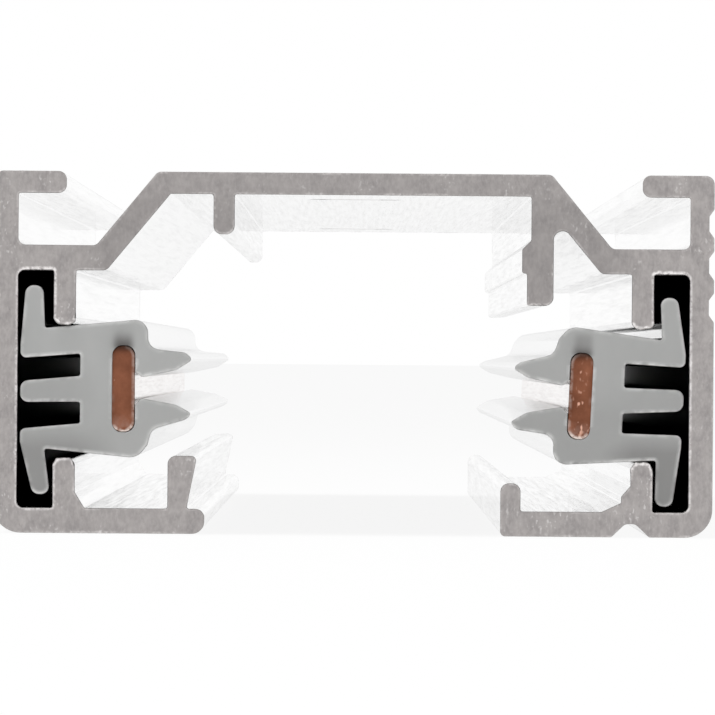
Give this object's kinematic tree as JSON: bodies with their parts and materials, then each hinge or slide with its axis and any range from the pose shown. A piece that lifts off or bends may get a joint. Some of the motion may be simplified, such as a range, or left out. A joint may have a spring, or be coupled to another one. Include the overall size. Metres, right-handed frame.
{
  "type": "single-phase lighting track",
  "caption": "Length of open aluminium lighting track: an extrusion with hooked plastic strips along its inside that hold flat copper conductors, for plug-in spotlight adaptors.",
  "frame": {"origin": "middle of the length and of the width, on the plane of the two lips that the track lies on", "axes": "X across the section, Y along the track, +Z from the mouth towards the top plate that goes against the ceiling"},
  "size_m": [0.036, 0.5, 0.0181],
  "materials": {
    "aluminium": "satin",
    "strip_plastic": "satin",
    "copper": "satin"
  },
  "bodies": {
    "root": {"track_profile": "aluminium", "insulator_left": "strip_plastic", "insulator_right": "strip_plastic", "conductor_left": "copper", "conductor_right": "copper"}
  },
  "joints": []
}
